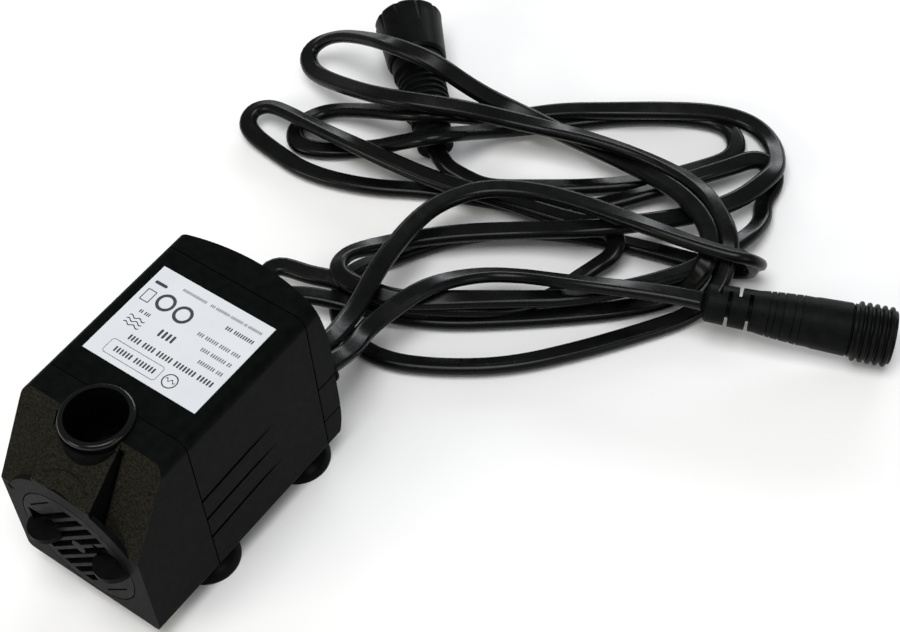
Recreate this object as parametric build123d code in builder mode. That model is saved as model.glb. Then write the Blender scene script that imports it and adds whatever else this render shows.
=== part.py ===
"""Fountain submersible pump with an adjustable intake, suction feet and two leads with plugs.

Millimetres, +Z up. The floor under the suction cups is z = 0, the intake faces -Y and the leads
leave the rear cover towards +Y. The origin is under the middle of the pump.
"""
from build123d import *
import math
import os

os.makedirs("parts", exist_ok=True)

# Body
body_width = 42.0
body_height = 49.2
foot_height = 6.0
wall = 2.0
floor_wall = 4.0
top_edge_radius = 2.9
bottom_edge_radius = 1.6
half_width = body_width / 2
body_bottom = foot_height
body_top = foot_height + body_height
body_middle = foot_height + body_height / 2

# Stations along the body, front to rear
front_y = -32.75
ridge_y = -18.65
front_seam = -11.45
rear_seam = 29.05
rear_bulge = 36.75
seam_gap = 0.35

# Front cover
facet_foot = 34.6
middle_foot = 44.3
middle_half_width = 8.8
plate_thickness = 1.2
plate_radius = 21.2
recess_depth = 2.1
recess_wall = 1.75

# Motor axis, which is also the dial's axis
axis_z = 23.5
shaft_radius = 1.0
running_gap = 0.06

# Dial
dial_radius = 16.6
dial_gap = 0.3
dial_thickness = 2.0
dial_pin_radius = 2.0
slot_angle = 43.5
slot_pitch = 2.75
slot_width = 1.75
slot_field_radius = 14.0
fin_height = 4.0
fin_angle = 7.0

# Pump chamber and outlet
outlet_y = -17.05
outlet_bore = 7.4
outlet_depth = 18.0
passage_radius = 6.0
outlet_radius = 8.3
outlet_lip = 8.87
outlet_top = 56.7
outlet_gap = 0.25
chamber_radius = 12.6
chamber_bore = 11.0
chamber_front = -25.5
chamber_rear = -8.6

# Motor
web_front = -8.0
web_rear = -5.5
well_bore = 7.4
well_radius = 8.2
well_flange = 10.0
well_end = 22.5
magnet_radius = 6.8
magnet_front = -5.0
magnet_rear = 18.0
core_front = -1.0
core_rear = 17.0
core_half_width = 15.5
leg_inner = 9.5
window_bottom = 33.0
window_top = 43.0
core_bottom = 14.5
core_top = 49.0

# Suction cups
cup_radius = 8.2
cup_x = 13.3
cup_front_y = -8.85
cup_rear_y = 25.45
stem_radius = 2.2
stem_depth = 3.0

# Leads: a flat twin cord, modelled as a round tube as thick as the cord is
cord_radius = 1.6
gland_x = 11.5
gland_z = 22.0
gland_end = 39.6


def across(y):
    """Plane across the body at y, with sketch axes X and Z, facing the front."""
    return Plane.XZ.offset(-y)


def body_section(y):
    """Rounded outline of the body across y."""
    with BuildSketch(across(y)) as section:
        with Locations((0, body_middle)):
            Rectangle(body_width, body_height)
        fillet(section.vertices().group_by(Axis.Y)[-1], top_edge_radius)
        fillet(section.vertices().group_by(Axis.Y)[0], bottom_edge_radius)
    return section.sketch


def seam_ring(y):
    """Outline of the body across y as a band as deep as a seam."""
    with BuildSketch(across(y)) as band:
        add(body_section(y))
        offset(body_section(y), amount=-seam_gap, mode=Mode.SUBTRACT)
    return band.sketch


def save(piece, name):
    """Labels a finished piece and writes it as its own node."""
    piece.part.label = name
    export_step(piece.part, f"parts/{name}.step")
    print(name, "volume", round(piece.part.volume, 1), "valid", piece.part.is_valid)


# ---------------------------------------------------------------- motor housing
groove_depth = 1.0
groove_width = 1.0
groove_end = 13.75
side_grooves = [(33.0, 34.0), (25.9, 26.8), (18.6, 19.9)]
inner_width = body_width - 2 * wall
inner_bottom = body_bottom + floor_wall
inner_top = body_top - wall
inner_middle = (inner_bottom + inner_top) / 2

with BuildPart() as motor_housing:
    extrude(body_section(front_seam), amount=front_seam - rear_seam)
    with BuildSketch(across(front_seam)):
        with Locations((0, inner_middle)):
            Rectangle(inner_width, inner_top - inner_bottom)
    extrude(amount=front_seam - web_front, mode=Mode.SUBTRACT)
    with BuildSketch(across(rear_seam)):
        with Locations((0, inner_middle)):
            Rectangle(inner_width, inner_top - inner_bottom)
    extrude(amount=rear_seam - web_rear, mode=Mode.SUBTRACT)
    with BuildSketch(across(web_front)):
        with Locations((0, axis_z)):
            Circle(well_flange)
    extrude(amount=-1.0, mode=Mode.SUBTRACT)
    with BuildSketch(across(web_front)):
        with Locations((0, axis_z)):
            Circle(well_radius)
    extrude(amount=web_front - web_rear, mode=Mode.SUBTRACT)
    with BuildSketch(Plane.XY.offset(inner_top - 3)):
        with Locations((0, outlet_y)):
            Circle(outlet_radius + outlet_gap)
    extrude(amount=8, mode=Mode.SUBTRACT)
    with BuildSketch(Plane.XY.offset(body_bottom)):
        with Locations(*[(x, y) for x in (-cup_x, cup_x) for y in (cup_front_y, cup_rear_y)]):
            Circle(stem_radius)
    extrude(amount=stem_depth, mode=Mode.SUBTRACT)
    for side in (-1, 1):
        for front_z, rear_z in side_grooves:
            run = Vector(0, groove_end - front_seam, rear_z - front_z)
            groove_plane = Plane(
                origin=(side * half_width, front_seam, front_z),
                x_dir=run,
                z_dir=run.cross(Vector(side, 0, 0)),
            )
            with BuildSketch(groove_plane):
                with BuildLine():
                    Polyline((-1, 0.5), (-1, -groove_depth), (0, -groove_depth),
                             (run.length, 0), (run.length, 0.5), close=True)
                make_face()
            extrude(amount=groove_width / 2, both=True, mode=Mode.SUBTRACT)
save(motor_housing, "motor_housing")

# ---------------------------------------------------------------- rear cover
cover_wall = 2.0
# Height above the foot, then the stations of the corners and of the bowed middle
rear_profile = [(0, 33.2, 35.0), (3.5, 34.6, 36.2), (18.0, 35.5, rear_bulge),
                (34.0, 35.6, rear_bulge), (43.3, 34.5, rear_bulge),
                (body_height, 33.4, rear_bulge)]
panel_lines = [16.2, 28.9]
panel_line_width = 0.5
gland_width = 12.7
gland_height = 7.2


def rear_cover_solid(inset):
    """Bowed rear cover, or its hollow when it is inset by the wall."""
    squeeze = 1 - 2 * inset / body_height
    side = half_width - inset
    with BuildPart() as solid:
        for height, corner, middle in rear_profile:
            with BuildSketch(Plane.XY.offset(body_bottom + inset + height * squeeze)):
                with BuildLine():
                    back = corner - inset
                    Polyline((-side, back), (-side, rear_seam), (side, rear_seam), (side, back))
                    ThreePointArc((side, back), (0, middle - inset), (-side, back))
                make_face()
        loft()
    return solid.part


with BuildPart() as rear_cover:
    add(rear_cover_solid(0))
    extrude(body_section(rear_seam), amount=-12, mode=Mode.INTERSECT)
    add(rear_cover_solid(cover_wall), mode=Mode.SUBTRACT)
    with BuildSketch(across(rear_seam)):
        with Locations((gland_x, gland_z)):
            SlotOverall(gland_width, gland_height)
    extrude(amount=-12, mode=Mode.SUBTRACT)
    for side in (-1, 1):
        with Locations(*[(side * half_width, rear_seam + 5, z) for z in panel_lines]):
            Box(0.8, 16, panel_line_width, mode=Mode.SUBTRACT)
    extrude(seam_ring(rear_seam), amount=-seam_gap, mode=Mode.SUBTRACT)
save(rear_cover, "rear_cover")

# ---------------------------------------------------------------- front cover
groove_beside_block = 1.4
groove_beside_depth = 2.6
collar_radius = 9.1
collar_top = 53.8
cavity_front = front_y + recess_depth + recess_wall
facet_slope = (body_top - facet_foot) / (ridge_y - front_y)
cavity_foot = facet_foot + facet_slope * (cavity_front - front_y) - 3.4
cavity_ridge = ridge_y + 1.4
side_width = half_width - middle_half_width
side_centre = (half_width + middle_half_width) / 2

with BuildPart() as front_cover:
    extrude(body_section(front_seam), amount=front_seam - front_y)
    for side in (-1, 1):
        with BuildSketch(Plane.YZ.offset(side * side_centre)):
            with BuildLine():
                Polyline((front_y, facet_foot), (ridge_y, body_top), (ridge_y, body_top + 1),
                         (front_y, body_top + 1), close=True)
            make_face()
        extrude(amount=side_width / 2, both=True, mode=Mode.SUBTRACT)
    with BuildSketch(Plane.YZ):
        with BuildLine():
            Polyline((front_y, middle_foot), (ridge_y, body_top), (ridge_y, body_top + 1),
                     (front_y, body_top + 1), close=True)
        make_face()
    extrude(amount=middle_half_width, both=True, mode=Mode.SUBTRACT)
    for side in (-1, 1):
        groove_x = side * (middle_half_width + groove_beside_block / 2)
        with BuildSketch(Plane.YZ.offset(groove_x)):
            with BuildLine():
                Polyline((front_y, facet_foot - groove_beside_depth), (ridge_y - 1, body_top - 4),
                         (ridge_y - 1, body_top + 1), (front_y, body_top + 1), close=True)
            make_face()
        extrude(amount=groove_beside_block / 2, both=True, mode=Mode.SUBTRACT)
    with BuildSketch(across(front_y)):
        with Locations((0, axis_z)):
            Circle(plate_radius)
        with Locations((0, axis_z + plate_radius / 2)):
            Rectangle(body_width, plate_radius, mode=Mode.INTERSECT)
    extrude(amount=-plate_thickness)
    with BuildSketch(Plane.XY.offset(middle_foot - 8)):
        with Locations((0, outlet_y)):
            Circle(collar_radius)
            Rectangle(2 * collar_radius, collar_radius, align=(Align.CENTER, Align.MIN),
                      mode=Mode.SUBTRACT)
    extrude(amount=collar_top - middle_foot + 8)
    with BuildSketch(Plane.YZ):
        with BuildLine():
            Polyline((cavity_front, body_bottom + wall), (cavity_front, cavity_foot),
                     (cavity_ridge, body_top - wall), (front_seam, body_top - wall),
                     (front_seam, body_bottom + wall), close=True)
        make_face()
    extrude(amount=half_width - wall, both=True, mode=Mode.SUBTRACT)
    with BuildSketch(Plane.XY.offset(body_middle)):
        with Locations((0, outlet_y)):
            Circle(outlet_radius + outlet_gap)
    extrude(amount=body_height, mode=Mode.SUBTRACT)
    with BuildSketch(across(front_y)):
        with Locations((0, axis_z)):
            Circle(dial_radius + dial_gap)
    extrude(amount=-recess_depth, mode=Mode.SUBTRACT)
    with BuildSketch(across(front_y)):
        with Locations((0, axis_z)):
            Circle(dial_pin_radius + running_gap)
            with PolarLocations(8.6, 8):
                SlotOverall(8, 3)
    extrude(amount=-recess_depth - recess_wall, mode=Mode.SUBTRACT)
    with Locations((-18.8, front_y, 32.6)):
        Box(2.8, 0.6, 0.5, mode=Mode.SUBTRACT)
        Box(0.5, 0.6, 2.8, mode=Mode.SUBTRACT)
    extrude(seam_ring(front_seam), amount=seam_gap, mode=Mode.SUBTRACT)
save(front_cover, "front_cover")

# ---------------------------------------------------------------- flow dial
dial_face = across(front_y)
pin_head_front = cavity_front + 0.1
line_offset = 13.6
line_length = 11.0
fin_inner = 5.6
fin_outer = 15.9
fin_thickness = 1.4
fin_direction = Vector(math.cos(math.radians(fin_angle)), 0, math.sin(math.radians(fin_angle)))

with BuildPart() as flow_dial:
    with BuildSketch(dial_face):
        with Locations((0, axis_z)):
            Circle(dial_radius)
    extrude(amount=-dial_thickness)
    with BuildSketch(dial_face):
        with Locations(Location((0, axis_z, 0), (0, 0, slot_angle))):
            for step in range(8):
                with Locations((0, (step - 3.5) * slot_pitch)):
                    Rectangle(2 * slot_field_radius, slot_width)
        with Locations((0, axis_z)):
            Circle(slot_field_radius, mode=Mode.INTERSECT)
    extrude(amount=-dial_thickness, mode=Mode.SUBTRACT)
    with BuildSketch(dial_face):
        with Locations(Location((0, axis_z, 0), (0, 0, slot_angle))):
            with Locations((0, line_offset), (0, -line_offset)):
                Rectangle(line_length, 0.5)
    extrude(amount=-0.4, mode=Mode.SUBTRACT)
    for side in (-1, 1):
        ramp_centre = Vector(0, front_y - 3.6, axis_z + 2.6) + fin_direction * side * 10.5
        ramp_plane = Plane(origin=ramp_centre, x_dir=(0, 1, 0), z_dir=fin_direction)
        with BuildSketch(ramp_plane):
            Circle(4.8)
        extrude(amount=4.2, both=True, mode=Mode.SUBTRACT)
    for side in (-1, 1):
        fin_plane = Plane(
            origin=(0, front_y, axis_z),
            x_dir=fin_direction * side,
            z_dir=(fin_direction * side).cross(Vector(0, -1, 0)),
        )
        with BuildSketch(fin_plane):
            with BuildLine():
                Polyline((fin_inner, 0), (fin_inner + 0.6, -dial_thickness),
                         (fin_outer - 0.6, -dial_thickness), (fin_outer, 0))
                ThreePointArc((fin_inner, 0), ((fin_inner + fin_outer) / 2, fin_height),
                              (fin_outer, 0))
            make_face()
        extrude(amount=fin_thickness / 2, both=True)
    with BuildSketch(across(front_y)):
        with Locations((0, axis_z)):
            Circle(dial_pin_radius)
    extrude(amount=front_y - pin_head_front - 1)
    with BuildSketch(across(pin_head_front)):
        with Locations((0, axis_z)):
            Circle(dial_pin_radius + 0.6)
    extrude(amount=-1)
save(flow_dial, "flow_dial")

# ---------------------------------------------------------------- pump chamber with the outlet
bead_radius = 0.9
spider_hub_radius = 2.9
spider_hub_front = -26.4
bush_radius = 1.9
bush_front = -26.2
bush_rear = -23.8

with BuildPart() as pump_chamber:
    with BuildSketch(across(chamber_front)):
        with Locations((0, axis_z)):
            Circle(chamber_radius)
    extrude(amount=chamber_front - chamber_rear)
    with BuildSketch(Plane.XY.offset(axis_z + 2)):
        with Locations((0, outlet_y)):
            Circle(outlet_radius)
    extrude(amount=outlet_top - 1 - axis_z - 2)
    with BuildSketch(Plane.XZ.offset(-outlet_y)):
        with Locations((outlet_lip - bead_radius, outlet_top - bead_radius)):
            Circle(bead_radius)
    revolve(axis=Axis((0, outlet_y, 0), (0, 0, 1)))
    with BuildSketch(Plane.XZ.offset(-outlet_y)):
        with Locations((outlet_bore, outlet_top)):
            Rectangle(outlet_radius - outlet_bore, 1.0, align=(Align.MIN, Align.MAX))
    revolve(axis=Axis((0, outlet_y, 0), (0, 0, 1)))
    with BuildSketch(across(chamber_front + 1.5)):
        with Locations((0, axis_z)):
            Circle(chamber_bore)
    extrude(amount=chamber_front + 1.5 - chamber_rear, mode=Mode.SUBTRACT)
    with BuildSketch(Plane.XY.offset(axis_z)):
        with Locations((0, outlet_y)):
            Circle(passage_radius)
    extrude(amount=outlet_top - axis_z, mode=Mode.SUBTRACT)
    with BuildSketch(Plane.XY.offset(outlet_top)):
        with Locations((0, outlet_y)):
            Circle(outlet_bore)
    extrude(amount=-outlet_depth, mode=Mode.SUBTRACT)
    with BuildSketch(across(chamber_front)):
        with Locations((0, axis_z)):
            Circle(7.2)
    extrude(amount=-1.5, mode=Mode.SUBTRACT)
    with BuildSketch(across(chamber_front)):
        with Locations((0, axis_z)):
            with PolarLocations(0, 3):
                Rectangle(7.6, 1.2, align=(Align.MIN, Align.CENTER))
    extrude(amount=-1.5)
    with BuildSketch(across(spider_hub_front)):
        with Locations((0, axis_z)):
            Circle(spider_hub_radius)
    extrude(amount=spider_hub_front - bush_rear)
    with BuildSketch(across(spider_hub_front)):
        with Locations((0, axis_z)):
            Circle(bush_radius)
    extrude(amount=spider_hub_front - bush_rear, mode=Mode.SUBTRACT)
save(pump_chamber, "pump_chamber")


def ring_along_y(outer, inner, front, rear):
    """Ring about the motor axis between two stations."""
    with BuildPart() as ring:
        with BuildSketch(across(front)):
            with Locations((0, axis_z)):
                Circle(outer)
                if inner > 0:
                    Circle(inner, mode=Mode.SUBTRACT)
        extrude(amount=front - rear)
    return ring


chamber_gasket = ring_along_y(chamber_radius, chamber_bore, chamber_rear, web_front)
save(chamber_gasket, "chamber_gasket")
front_bush = ring_along_y(bush_radius, shaft_radius, bush_front, bush_rear)
save(front_bush, "front_bush")

# ---------------------------------------------------------------- rotor and its well
impeller_hub_radius = 3.2
impeller_radius = 9.6
blade_count = 6
blade_thickness = 1.2
blade_front = -22.6
blade_rear = -11.0
rear_bush_radius = 2.4
rear_bush_front = 19.0
well_floor = 21.5

with BuildPart() as rotor_well:
    with BuildSketch(across(web_front)):
        with Locations((0, axis_z)):
            Circle(well_flange)
    extrude(amount=-1.0)
    with BuildSketch(across(web_front)):
        with Locations((0, axis_z)):
            Circle(well_radius)
    extrude(amount=web_front - well_end)
    with BuildSketch(across(web_front)):
        with Locations((0, axis_z)):
            Circle(well_bore)
    extrude(amount=web_front - well_floor, mode=Mode.SUBTRACT)
    with BuildSketch(across(rear_bush_front)):
        with Locations((0, axis_z)):
            Circle(rear_bush_radius + 0.8)
            Circle(rear_bush_radius, mode=Mode.SUBTRACT)
    extrude(amount=rear_bush_front - well_floor)
save(rotor_well, "rotor_well")

rear_bush = ring_along_y(rear_bush_radius, shaft_radius, rear_bush_front, well_floor)
save(rear_bush, "rear_bush")
rotor_shaft = ring_along_y(shaft_radius, 0, bush_front, well_floor)
save(rotor_shaft, "rotor_shaft")
rotor_magnet = ring_along_y(magnet_radius, shaft_radius + running_gap, magnet_front, magnet_rear)
save(rotor_magnet, "rotor_magnet")

with BuildPart() as impeller:
    with BuildSketch(across(blade_front)):
        with Locations((0, axis_z)):
            Circle(impeller_hub_radius)
            with PolarLocations(0, blade_count):
                Rectangle(impeller_radius, blade_thickness, align=(Align.MIN, Align.CENTER))
    extrude(amount=blade_front - blade_rear)
    with BuildSketch(across(blade_rear)):
        with Locations((0, axis_z)):
            Circle(impeller_hub_radius)
    extrude(amount=blade_rear - magnet_front)
    with BuildSketch(across(blade_front)):
        with Locations((0, axis_z)):
            Circle(shaft_radius + running_gap)
    extrude(amount=blade_front - magnet_front, mode=Mode.SUBTRACT)
save(impeller, "impeller")

# ---------------------------------------------------------------- stator, coils and potting
bobbin_wall = 1.0
coil_depth = 2.3
leg_x = (leg_inner + core_half_width) / 2
leg_width = core_half_width - leg_inner
core_length = core_rear - core_front
core_middle = (core_front + core_rear) / 2
bobbin_bottom = window_bottom + 0.2
bobbin_top = window_top - 0.2
flange_width = leg_width + 2 * (bobbin_wall + coil_depth) - 0.4
flange_length = core_length + 2 * (bobbin_wall + coil_depth) - 0.4

with BuildPart() as stator_core:
    with BuildSketch(across(core_front)):
        with Locations((0, (core_bottom + core_top) / 2)):
            Rectangle(2 * core_half_width, core_top - core_bottom)
        with Locations((0, (window_bottom + window_top) / 2)):
            Rectangle(2 * leg_inner, window_top - window_bottom, mode=Mode.SUBTRACT)
        with Locations((0, axis_z)):
            Circle(well_radius, mode=Mode.SUBTRACT)
        with Locations((0, core_bottom)):
            Rectangle(3, 2 * (axis_z - core_bottom), mode=Mode.SUBTRACT)
        with Locations((0, axis_z)):
            Rectangle(3, 2 * (window_bottom - axis_z), mode=Mode.SUBTRACT)
    extrude(amount=-core_length)
save(stator_core, "stator_core")


def coil_solid(width, length, bottom, top, side, hollow_width, hollow_length):
    """Rectangular ring round one leg of the core."""
    with BuildPart() as ring:
        with BuildSketch(Plane.XY.offset(bottom)):
            with Locations((side * leg_x, core_middle)):
                Rectangle(width, length)
                Rectangle(hollow_width, hollow_length, mode=Mode.SUBTRACT)
        extrude(amount=top - bottom)
    return ring


bobbins = []
windings = []
for side, side_name in ((-1, "left"), (1, "right")):
    tube_width = leg_width + 2 * bobbin_wall
    tube_length = core_length + 2 * bobbin_wall
    bobbin = coil_solid(tube_width, tube_length, bobbin_bottom, bobbin_top, side,
                        leg_width, core_length)
    for bottom in (bobbin_bottom, bobbin_top - bobbin_wall):
        flange = coil_solid(flange_width, flange_length, bottom, bottom + bobbin_wall, side,
                            leg_width, core_length)
        bobbin.part = bobbin.part + flange.part
    save(bobbin, f"coil_bobbin_{side_name}")
    winding = coil_solid(flange_width - 0.8, flange_length - 0.8, bobbin_bottom + bobbin_wall,
                         bobbin_top - bobbin_wall, side, tube_width, tube_length)
    save(winding, f"coil_winding_{side_name}")
    bobbins.append(bobbin)
    windings.append(winding)

with BuildPart() as potting_resin:
    with BuildSketch(across(web_rear)):
        with Locations((0, inner_middle)):
            Rectangle(inner_width, inner_top - inner_bottom)
    extrude(amount=web_rear - rear_seam)
    with BuildSketch(across(web_rear)):
        with Locations((0, axis_z)):
            Circle(well_radius)
    extrude(amount=web_rear - well_end, mode=Mode.SUBTRACT)
    add(stator_core.part, mode=Mode.SUBTRACT)
    for coil_piece in bobbins + windings:
        add(coil_piece.part, mode=Mode.SUBTRACT)
save(potting_resin, "potting_resin")

# ---------------------------------------------------------------- rating label
label_thickness = 0.15

with BuildPart() as rating_label:
    with BuildSketch(Plane.XY.offset(body_top)):
        with Locations((0.3, 9.85)):
            Rectangle(33.6, 28.0)
    extrude(amount=label_thickness)
save(rating_label, "rating_label")

# ---------------------------------------------------------------- suction cups
cup_names = [("front_left", -cup_x, cup_front_y), ("front_right", cup_x, cup_front_y),
             ("rear_left", -cup_x, cup_rear_y), ("rear_right", cup_x, cup_rear_y)]

for cup_name, x, y in cup_names:
    with BuildPart() as suction_cup:
        with BuildSketch(Plane.XZ.offset(-y)):
            with BuildLine():
                Polyline((x + 1.5, 2.8), (x, 2.8), (x, body_bottom + stem_depth),
                         (x + stem_radius, body_bottom + stem_depth),
                         (x + stem_radius, body_bottom), (x + 3.4, body_bottom),
                         (x + 3.4, 4.9))
                ThreePointArc((x + 3.4, 4.9), (x + 6.4, 3.3), (x + cup_radius, 0.7))
                Polyline((x + cup_radius, 0.7), (x + cup_radius, 0), (x + cup_radius - 0.8, 0))
                ThreePointArc((x + cup_radius - 0.8, 0), (x + 4.9, 2.0), (x + 1.5, 2.8))
            make_face()
        revolve(axis=Axis((x, y, 0), (0, 0, 1)))
    save(suction_cup, f"suction_cup_{cup_name}")

# ---------------------------------------------------------------- cable gland
with BuildPart() as cable_gland:
    with BuildSketch(across(rear_seam + 0.3)):
        with Locations((gland_x, gland_z)):
            SlotOverall(gland_width + 0.5, gland_height + 1.6)
    extrude(amount=-2.2)
    with BuildSketch(across(rear_seam + 0.3)):
        with Locations((gland_x, gland_z)):
            SlotOverall(gland_width, gland_height)
    extrude(amount=rear_seam + 0.3 - gland_end)
    for rib_y in (37.3, 38.6):
        with BuildSketch(across(rib_y)):
            with Locations((gland_x, gland_z)):
                SlotOverall(gland_width + 1, gland_height + 1)
                SlotOverall(gland_width - 1, gland_height - 1, mode=Mode.SUBTRACT)
        extrude(amount=-0.7)
save(cable_gland, "cable_gland")

# ---------------------------------------------------------------- plugs on the leads
plug_1_start = Vector(75.5, 113, 13)
plug_1_axis = (Vector(117.1, 132.1, 7.6) - plug_1_start).normalized()
plug_2_start = Vector(-17, 123.5, 5.5)
plug_2_axis = (Vector(-51.2, 156.2, 10.1) - plug_2_start).normalized()


def plug_plane(start, axis, station=0):
    """Plane across a plug at a distance from the end where its lead enters."""
    level = Vector(0, 0, 1).cross(axis).normalized()
    return Plane(origin=start + axis * station, x_dir=level, z_dir=axis)


def plug_profile_plane(start, axis):
    """Plane along a plug, with sketch X along its axis and sketch Y upwards."""
    level = Vector(0, 0, 1).cross(axis).normalized()
    return Plane(origin=start, x_dir=axis, z_dir=level * -1)


def turned(start, axis, points):
    """Solid of revolution about a plug's axis from (station, radius) corners."""
    with BuildPart() as solid:
        with BuildSketch(plug_profile_plane(start, axis)):
            with BuildLine():
                Polyline(*points, close=True)
            make_face()
        revolve(axis=Axis(start, axis))
    return solid.part


# Plug 1: male thread, on lead B
boot_1_radius = 4.9
grip_1_start = 5.5
grip_1_end = 6.3
barrel_1_radius = 6.75
thread_crest = 7.55
thread_root = 6.7
thread_pitch = 1.9
thread_start = 36.5
thread_end = 47.0
grip_rings_1 = [15.5, 16.9, 18.9, 21.6, 23.4]
grip_ring_width = 0.4
grip_ring_depth = 0.35
relief_core = 2.9
relief_slot = 1.1

boot_1_outline = [(0, 0), (0, 4.3), (0.6, boot_1_radius), (13.0, 5.3), (14.2, grip_1_start)]
for index, station in enumerate(grip_rings_1):
    radius = grip_1_start + (grip_1_end - grip_1_start) * (index + 1) / len(grip_rings_1)
    boot_1_outline += [(station, radius), (station, radius - grip_ring_depth),
                       (station + grip_ring_width, radius - grip_ring_depth),
                       (station + grip_ring_width, radius)]
boot_1_outline += [(26.5, grip_1_end), (27.5, 6.5), (thread_start - 0.8, barrel_1_radius),
                   (thread_start - 0.2, 6.3), (thread_start - 0.2, 0)]


def cut_relief_slots(start, axis, stations):
    """Cuts slots into a strain relief, from its left and its right by turns."""
    for index, station in enumerate(stations):
        side = 1 if index % 2 == 0 else -1
        with BuildSketch(plug_plane(start, axis, station)) as slot:
            with Locations((side * 5.2, 0)):
                Rectangle(12, 14)
            Circle(relief_core, mode=Mode.SUBTRACT)
        extrude(slot.sketch, amount=relief_slot, mode=Mode.SUBTRACT)


with BuildPart() as plug_1_boot:
    add(turned(plug_1_start, plug_1_axis, boot_1_outline))
    cut_relief_slots(plug_1_start, plug_1_axis, (2.6, 5.2, 7.8, 10.4))
save(plug_1_boot, "plug_1_boot")

thread_outline = [(thread_start, 0), (thread_start, thread_root)]
for turn in range(5):
    ridge = thread_start + 0.7 + turn * thread_pitch
    thread_outline += [(ridge, thread_root), (ridge + 0.35, thread_crest - 0.15),
                       (ridge + 0.6, thread_crest), (ridge + 0.9, thread_crest),
                       (ridge + 1.15, thread_crest - 0.15), (ridge + 1.5, thread_root)]
thread_outline += [(thread_end - 0.2, thread_root), (thread_end, thread_root - 0.3),
                   (thread_end, 5.2), (thread_end - 2, 5.2), (thread_end - 2, 0)]
contact_pitch = 4.0

with BuildPart() as plug_1_thread:
    add(turned(plug_1_start, plug_1_axis, thread_outline))
    with BuildSketch(plug_plane(plug_1_start, plug_1_axis, thread_end - 2)):
        with Locations((-contact_pitch / 2, 0), (contact_pitch / 2, 0)):
            Circle(1.3)
    extrude(amount=-6, mode=Mode.SUBTRACT)
save(plug_1_thread, "plug_1_thread")

for side, contact_name in ((-1, "a"), (1, "b")):
    with BuildPart() as contact:
        with BuildSketch(plug_plane(plug_1_start, plug_1_axis, thread_end - 8)):
            with Locations((side * contact_pitch / 2, 0)):
                Circle(1.3)
        extrude(amount=5.8)
        with BuildSketch(plug_plane(plug_1_start, plug_1_axis, thread_end - 7)):
            with Locations((side * contact_pitch / 2, 0)):
                Circle(0.95)
        extrude(amount=6, mode=Mode.SUBTRACT)
    save(contact, f"plug_1_socket_{contact_name}")

# Plug 2: swivel nut, on lead A
boot_2_radius = 5.0
grip_2_radius = 6.2
neck_radius = 6.2
nut_start = 30.6
nut_lip = 1.6
nut_bore = 7.2
nut_end = 46.6
insert_flange_radius = 6.9
insert_radius = 5.2
nut_lobes = 10
grip_rings_2 = [12.5, 14.6, 16.7, 18.8, 20.9, 23.0]

boot_2_outline = [(0, 0), (0, 4.4), (0.6, boot_2_radius), (11.0, 5.5), (12.0, grip_2_radius)]
for station in grip_rings_2:
    boot_2_outline += [(station, grip_2_radius), (station + 0.3, grip_2_radius + 0.5),
                       (station + 0.9, grip_2_radius + 0.5), (station + 1.2, grip_2_radius)]
boot_2_outline += [(25.5, grip_2_radius), (26.2, 7.4), (nut_start - 0.4, 7.4),
                   (nut_start - 0.4, neck_radius), (nut_start + nut_lip + 0.2, neck_radius),
                   (nut_start + nut_lip + 0.2, 0)]
with BuildPart() as plug_2_boot:
    add(turned(plug_2_start, plug_2_axis, boot_2_outline))
    cut_relief_slots(plug_2_start, plug_2_axis, (2.2, 4.6, 7.0, 9.4))
save(plug_2_boot, "plug_2_boot")

insert_start = nut_start + nut_lip + 0.2
insert_end = nut_end - 2.0
insert_outline = [(insert_start, 0), (insert_start, insert_flange_radius),
                  (insert_start + 1.4, insert_flange_radius),
                  (insert_start + 1.4, insert_radius), (insert_end, insert_radius),
                  (insert_end, 0)]

with BuildPart() as plug_2_insert:
    add(turned(plug_2_start, plug_2_axis, insert_outline))
    with BuildSketch(plug_plane(plug_2_start, plug_2_axis, insert_end)):
        with Locations((-contact_pitch / 2, 0), (contact_pitch / 2, 0)):
            Circle(0.9)
    extrude(amount=-8, mode=Mode.SUBTRACT)
save(plug_2_insert, "plug_2_insert")

seal_outline = [(insert_start + 1.4, insert_radius), (insert_start + 1.4, insert_radius + 1.2),
                (insert_start + 3.2, insert_radius + 1.2), (insert_start + 3.2, insert_radius)]

with BuildPart() as plug_2_seal:
    add(turned(plug_2_start, plug_2_axis, seal_outline))
save(plug_2_seal, "plug_2_seal")

for side, pin_name in ((-1, "a"), (1, "b")):
    with BuildPart() as pin:
        with BuildSketch(plug_plane(plug_2_start, plug_2_axis, insert_end - 8)):
            with Locations((side * contact_pitch / 2, 0)):
                Circle(0.9)
        extrude(amount=11.7)
    save(pin, f"plug_2_pin_{pin_name}")

nut_outline = [(nut_start, neck_radius + running_gap), (nut_start, 7.9), (nut_start + 1, 8.4),
               (nut_end - 3, 9.3), (nut_end - 0.6, 9.6), (nut_end, 9.3), (nut_end, 8.2)]
for turn in range(5):
    ridge = nut_end - 1.2 - turn * thread_pitch
    nut_outline += [(ridge, nut_bore + 0.5), (ridge - 0.5, nut_bore), (ridge - 0.9, nut_bore),
                    (ridge - 1.4, nut_bore + 0.5)]
nut_outline += [(nut_start + nut_lip, nut_bore + 0.5),
                (nut_start + nut_lip, neck_radius + running_gap)]

with BuildPart() as plug_2_nut:
    add(turned(plug_2_start, plug_2_axis, nut_outline))
    with BuildSketch(plug_plane(plug_2_start, plug_2_axis, nut_start + 2)):
        with PolarLocations(10.15, nut_lobes):
            Circle(1.15)
    extrude(amount=nut_end - nut_start, mode=Mode.SUBTRACT)
save(plug_2_nut, "plug_2_nut")

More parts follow.
